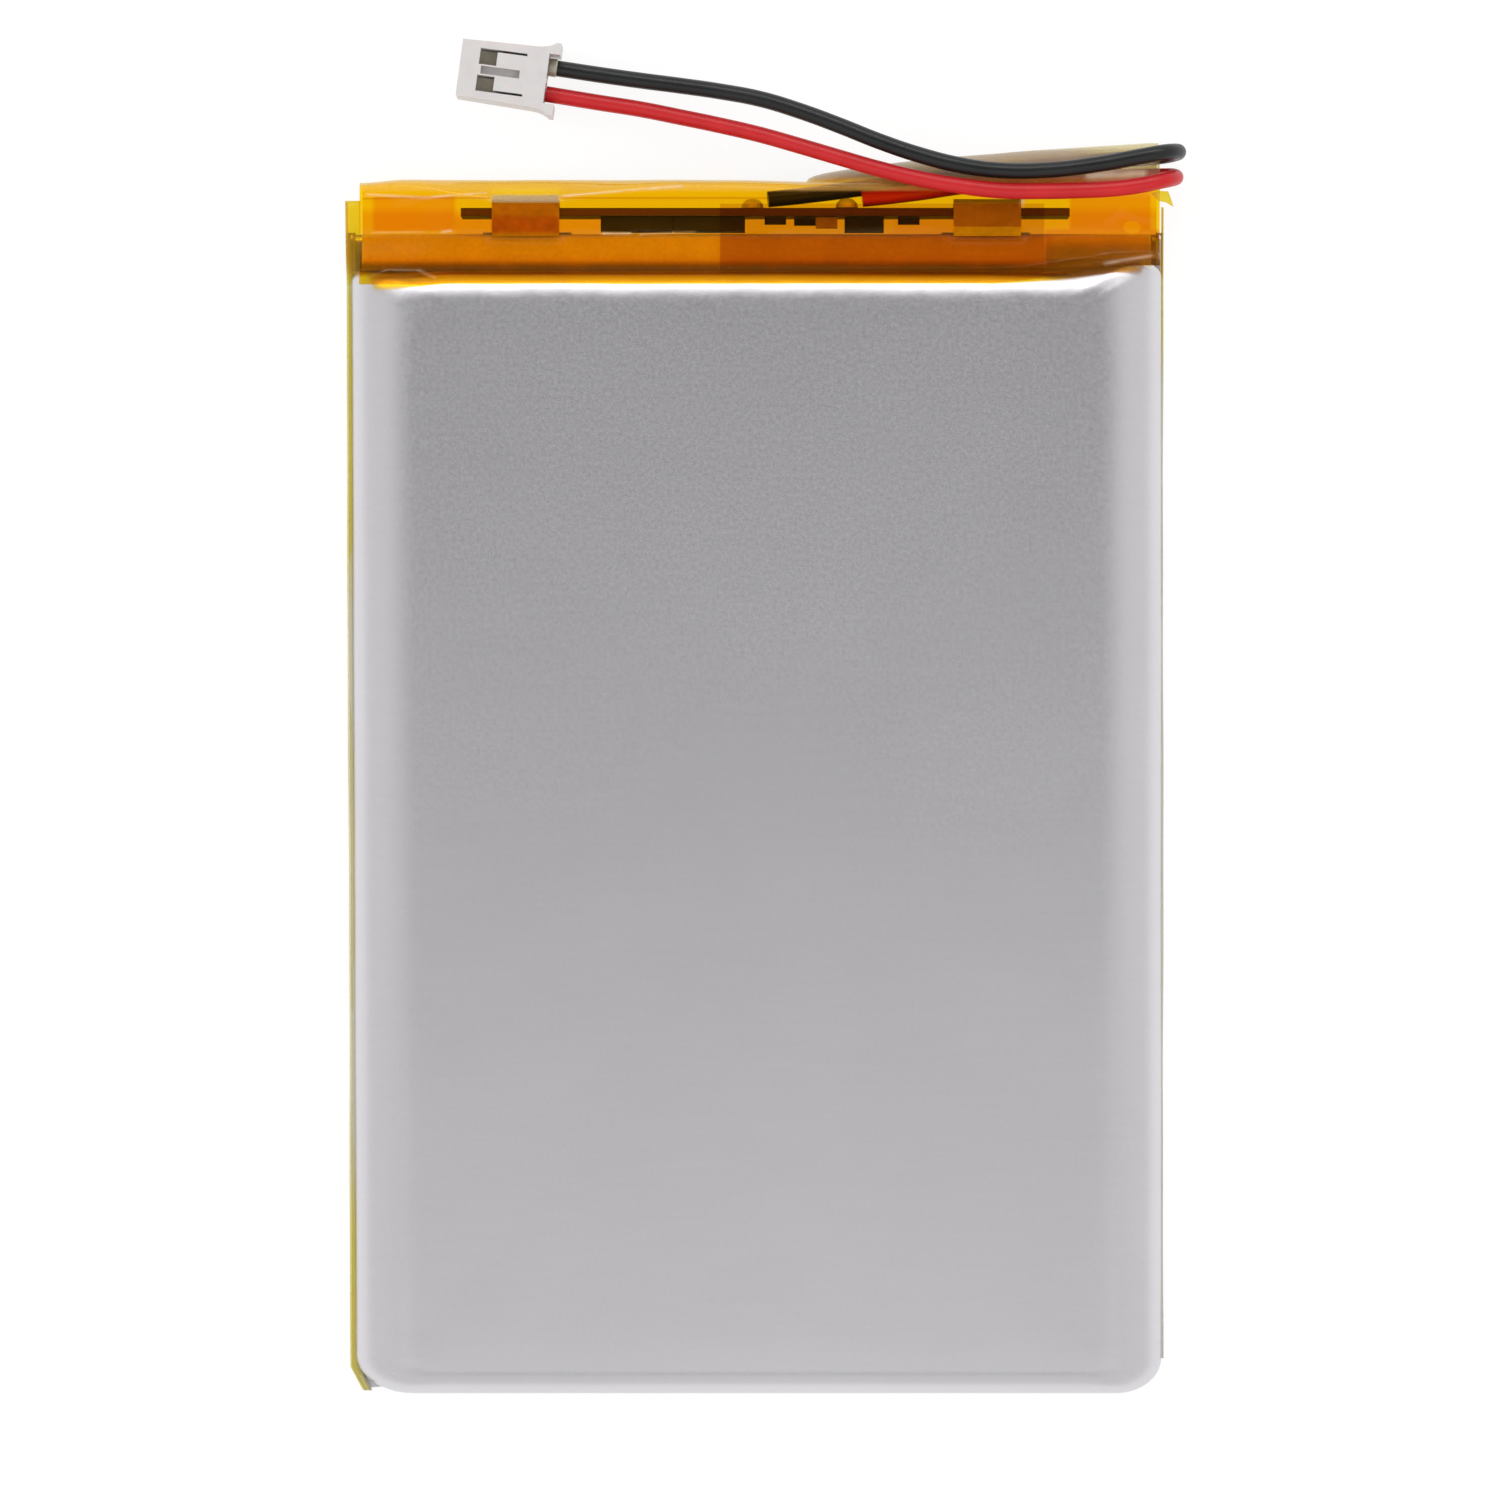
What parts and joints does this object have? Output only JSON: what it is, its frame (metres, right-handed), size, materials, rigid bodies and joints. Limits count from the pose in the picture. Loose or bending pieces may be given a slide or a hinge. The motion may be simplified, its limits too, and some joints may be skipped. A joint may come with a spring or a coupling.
{
  "type": "pouch battery cell",
  "caption": "Flat rectangular lithium pouch cell with folded side flaps, a taped protection board at one end, and red and black leads to a small white plug.",
  "frame": {"origin": "Middle of the cell's footprint on the surface that it lies on; the leads and plug aren't counted.", "axes": "+X across the cell towards the side where the leads turn back, +Y along it towards the protection board, +Z out of the drawn front face."},
  "size_m": [0.0618, 0.1004, 0.0071],
  "materials": {
    "pouch_laminate": "satin, slightly violet grey",
    "amber_tape": "clear amber polyimide film",
    "side_tape": "clear yellow-green film",
    "circuit_board": "green solder mask",
    "chip_plastic": "moulded black",
    "capacitor_ceramic": "fired",
    "nickel": "rolled nickel strip",
    "bare_aluminium": "rolled",
    "solder": "bright",
    "tinned_metal": "tinned",
    "foam": "closed-cell foam",
    "seal_film": "milky polypropylene",
    "anode_coating": "matt graphite on copper foil",
    "cathode_coating": "matt oxide on aluminium foil",
    "separator_film": "white microporous film",
    "black_wire": "smooth, slightly glossy",
    "red_wire": "smooth, slightly glossy",
    "plug_plastic": "natural white nylon"
  },
  "bodies": {
    "root": {"pouch_front_half": "pouch_laminate", "pouch_back_half": "pouch_laminate", "anode_strip": "anode_coating", "inner_separator": "separator_film", "cathode_strip": "cathode_coating", "outer_separator": "separator_film", "roll_closing_tape": "side_tape", "negative_tab": "nickel", "negative_tab_seal_film": "seal_film", "negative_weld_tape": "side_tape", "positive_tab": "bare_aluminium", "positive_tab_seal_film": "seal_film", "positive_weld_tape": "side_tape", "circuit_board": "circuit_board", "foam_strip": "foam", "power_transistor_left": "chip_plastic", "power_transistor_right": "chip_plastic", "gate_resistor": "chip_plastic", "sense_resistor": "chip_plastic", "filter_capacitor": "capacitor_ceramic", "protection_chip": "chip_plastic", "supply_resistor": "chip_plastic", "negative_nickel_plate": "nickel", "positive_nickel_plate": "nickel", "black_lead_solder": "solder", "red_lead_solder": "solder", "terrace_tape": "amber_tape", "lead_tape_patch": "amber_tape", "left_side_tape": "side_tape", "right_side_tape": "side_tape", "black_lead": "black_wire", "red_lead": "red_wire", "plug_housing": "plug_plastic", "black_plug_contact": "tinned_metal", "red_plug_contact": "tinned_metal"}
  },
  "joints": []
}
